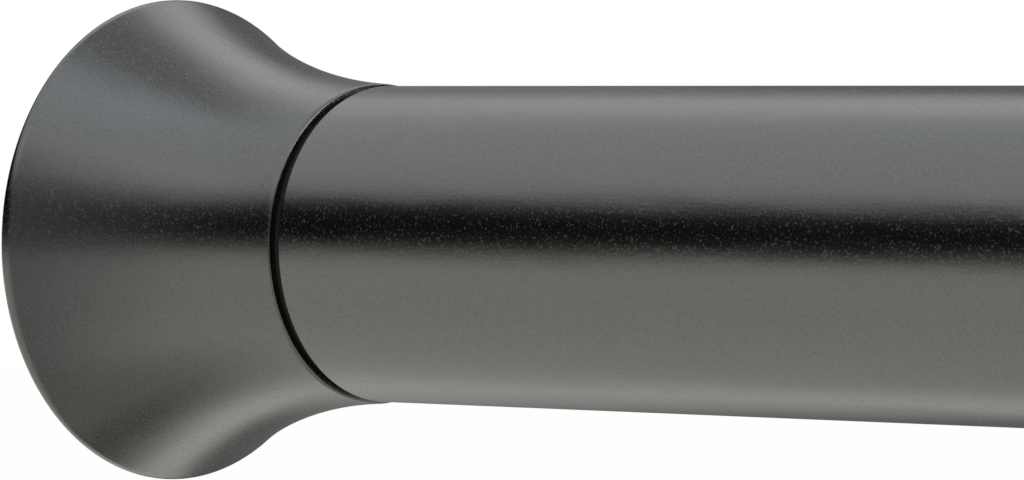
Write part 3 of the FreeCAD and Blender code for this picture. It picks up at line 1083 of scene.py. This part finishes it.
@dataclass
class Studio:
    """Pale floor, white surround and a light tent that only reflections see.

    The tones of the sweep and of most panels began as a numerical fit of this light to the
    photograph's tones, and were then rounded, tinted and adjusted. The floor glows so much
    that the rod's shadow on it hardly shows.
    """

    floor_drop: float = 0.25
    floor_reach: float = 6.0
    floor_glow: float = 0.95
    floor_paint: Colour = (0.95, 0.95, 0.95)
    floor_segments: int = 96
    tent_radius: float = 3.0
    tent_segments: int = 64
    tent_rings: int = 32
    bearing_span: Point = (-210.0, 150.0)
    white: Colour = (1.0, 1.0, 1.0)
    soft_light: float = 0.85
    sweep: tuple[tuple[float, Colour], ...] = (
        (-90.0, (0.49, 0.47, 0.42)),
        (-70.0, (0.53, 0.51, 0.46)),
        (-52.0, (0.92, 0.92, 0.84)),
        (-30.0, (0.86, 0.86, 0.80)),
        (0.0, (0.90, 0.90, 0.85)),
        (30.0, (0.90, 0.90, 0.90)),
        (50.0, (0.92, 0.96, 0.99)),
        (70.0, (1.10, 1.19, 1.28)),
        (90.0, (0.44, 0.45, 0.46)),
    )
    panels: tuple[TentPanel, ...] = (
        # Grey overhead on the left, and the dark side behind the left wall.
        TentPanel((-400.0, -68.0), 9.0, (61.0, 200.0), 8.0, (0.47, 0.47, 0.47)),
        TentPanel((-400.0, -132.0), 8.0, (-42.0, 33.0), 6.0, (0.17, 0.17, 0.17)),
        # Bright strips that draw the tube's upper and lower light lines.
        TentPanel((-400.0, -118.0), 12.0, (39.0, 56.0), 6.0, (1.40, 1.40, 1.36)),
        TentPanel((-400.0, -118.0), 12.0, (-58.0, -41.0), 6.0, (1.40, 1.40, 1.30)),
        # Lighter upper front for the cap, and the black band that crosses cap and tube.
        TentPanel((-32.0, 400.0), 6.0, (26.0, 47.0), 6.0, (1.05, 1.08, 1.10)),
        TentPanel((-132.0, 400.0), 8.0, (-3.5, 24.5), 5.0, (0.0, 0.0, 0.0)),
        # Dim screen in front of the flare, and the dim ground below.
        TentPanel((3.0, 55.0), 28.0, (-70.0, 37.0), 8.0, (0.27, 0.28, 0.30)),
        TentPanel((-400.0, -77.0), 12.0, (-200.0, -70.0), 6.0, (0.28, 0.27, 0.23)),
        # Small window that lights the cap's lip.
        TentPanel((104.0, 120.0), 3.0, (6.0, 30.0), 4.0, (7.0, 7.0, 7.2)),
    )
    look_from: Vector = field(default_factory=lambda: Vector((0.40953, -0.40822, 0.01226)))
    yaw: float = 42.214
    pitch: float = -1.221
    lens: float = 245.07
    sensor_width: float = 36.0
    nearest: float = 0.01
    farthest: float = 100.0

    def seen_as_background(self, graph: ShaderGraph) -> Signal:
        """1 for camera, glossy and transmission rays, and 0 for the rays that light the object."""
        path = graph.node("ShaderNodeLightPath")
        seen = graph.signal(path, "Is Camera Ray").larger(graph.signal(path, "Is Glossy Ray"))
        return seen.larger(graph.signal(path, "Is Transmission Ray"))

    def light(self) -> None:
        """White surround, a little dimmer as a light than as a background."""
        world = bpy.data.worlds.new("studio")
        bpy.context.scene.world = world
        world.use_nodes = True
        graph = ShaderGraph(world.node_tree)
        seen = self.seen_as_background(graph)
        strength = self.soft_light + seen * (1.0 - self.soft_light)
        inputs = {"Color": self.white, "Strength": strength}
        graph.close(graph.node("ShaderNodeBackground", None, inputs), "ShaderNodeOutputWorld")

    def floor(self) -> bpy.types.Object:
        """Lay the floor well below the rod, which hangs between two walls.

        Returns:
            The floor.
        """
        mesh = bmesh.new()
        bmesh.ops.create_circle(
            mesh,
            cap_ends=True,
            segments=self.floor_segments,
            radius=self.floor_reach,
            matrix=Matrix.Translation((0.0, 0.0, -self.floor_drop)),
        )
        piece = Shop.finished(mesh, "studio_floor")
        material = bpy.data.materials.new("studio_floor")
        material.use_nodes = True
        graph = ShaderGraph(material.node_tree)
        paint = graph.node("ShaderNodeBsdfDiffuse", None, {"Color": self.floor_paint})
        glow = graph.node("ShaderNodeEmission", None, {"Color": self.white, "Strength": 1.0})
        share = self.seen_as_background(graph) * self.floor_glow
        inputs = {0: share, 1: paint.outputs[0], 2: glow.outputs[0]}
        graph.close(graph.node("ShaderNodeMixShader", None, inputs), "ShaderNodeOutputMaterial")
        piece.data.materials.append(material)
        piece.visible_glossy = False
        return piece

    def tent(self) -> bpy.types.Object:
        """Stand the light tent around the rod, seen in its reflections alone.

        Returns:
            The tent.
        """
        mesh = bmesh.new()
        bmesh.ops.create_uvsphere(
            mesh,
            u_segments=self.tent_segments,
            v_segments=self.tent_rings,
            radius=self.tent_radius,
        )
        piece = Shop.finished(mesh, "light_tent", HALF_DEGREES)
        material = bpy.data.materials.new("light_tent")
        material.use_nodes = True
        graph = ShaderGraph(material.node_tree)
        place = {0: graph.object_place()}
        outward = graph.node("ShaderNodeVectorMath", {"operation": "NORMALIZE"}, place)
        split = graph.node("ShaderNodeSeparateXYZ", None, {0: outward.outputs[0]})
        across, away, up = (graph.signal(split, axis) for axis in ("X", "Y", "Z"))
        degree = math.radians(1.0)
        height = up.arcsine() / degree
        turned = across.bearing(0.0 - away) / degree
        bearing = graph.wrapped(turned, *self.bearing_span)
        stops = [((angle + QUARTER_DEGREES) / HALF_DEGREES, tone) for angle, tone in self.sweep]
        colour = graph.ramp(height / HALF_DEGREES + 0.5, stops)
        for panel in self.panels:
            colour = graph.blend(panel.share(graph, bearing, height), colour, panel.tone)
        glow = graph.node("ShaderNodeEmission", None, {"Color": colour, "Strength": 1.0})
        graph.close(glow, "ShaderNodeOutputMaterial")
        piece.data.materials.append(material)
        piece.visible_camera = False
        piece.visible_diffuse = False
        piece.visible_shadow = False
        piece.visible_transmission = False
        return piece

    def camera(self) -> bpy.types.Object:
        """Place the camera where the photograph was taken.

        Returns:
            The camera.
        """
        data = bpy.data.cameras.new("photo_camera")
        data.sensor_fit = "HORIZONTAL"
        data.sensor_width = self.sensor_width
        data.lens = self.lens
        data.clip_start = self.nearest
        data.clip_end = self.farthest
        piece = bpy.data.objects.new("photo_camera", data)
        bpy.context.scene.collection.objects.link(piece)
        yaw = math.radians(self.yaw)
        pitch = math.radians(self.pitch)
        level = math.cos(pitch)
        forward = Vector((-math.sin(yaw) * level, math.cos(yaw) * level, math.sin(pitch)))
        piece.location = self.look_from
        piece.rotation_euler = forward.to_track_quat("-Z", "Y").to_euler()
        bpy.context.scene.camera = piece
        return piece

    def build(self) -> None:
        """Set the studio up."""
        bpy.context.scene.view_settings.view_transform = "Standard"
        self.light()
        self.floor()
        self.tent()
        self.camera()


def main() -> None:
    """Build and dress the rod piece by piece, then set up the studio."""
    logging.basicConfig(level=logging.INFO, format="%(name)s: %(message)s")
    plan = RodPlan()
    outside, inside = plan.outer_radius, plan.inner_radius
    outer_tube = ("outer_sleeve", "outer_tube", Body.OUTER, plan.outer_span, outside)
    inner_tube = ("inner_sleeve", "inner_tube", Body.INNER, plan.inner_span, inside)
    builders = [
        FlaredCap(plan, End.LEFT, Body.OUTER, outside),
        FlaredCap(plan, End.RIGHT, Body.INNER, inside),
        RolledTube(*outer_tube, OUTER_TUBE_WALL),
        RolledTube(*inner_tube, INNER_TUBE_WALL),
        PushSpring(),
        ThreadedRod(),
    ]
    for builder in builders:
        piece = builder.build()
        LOG.info("%s made with %d faces", piece.name, len(piece.data.polygons))
    LOG.info("%d solids dressed", SmallParts().dress())
    Studio().build()
    LOG.info("studio set up")


if __name__ == "__main__":
    main()
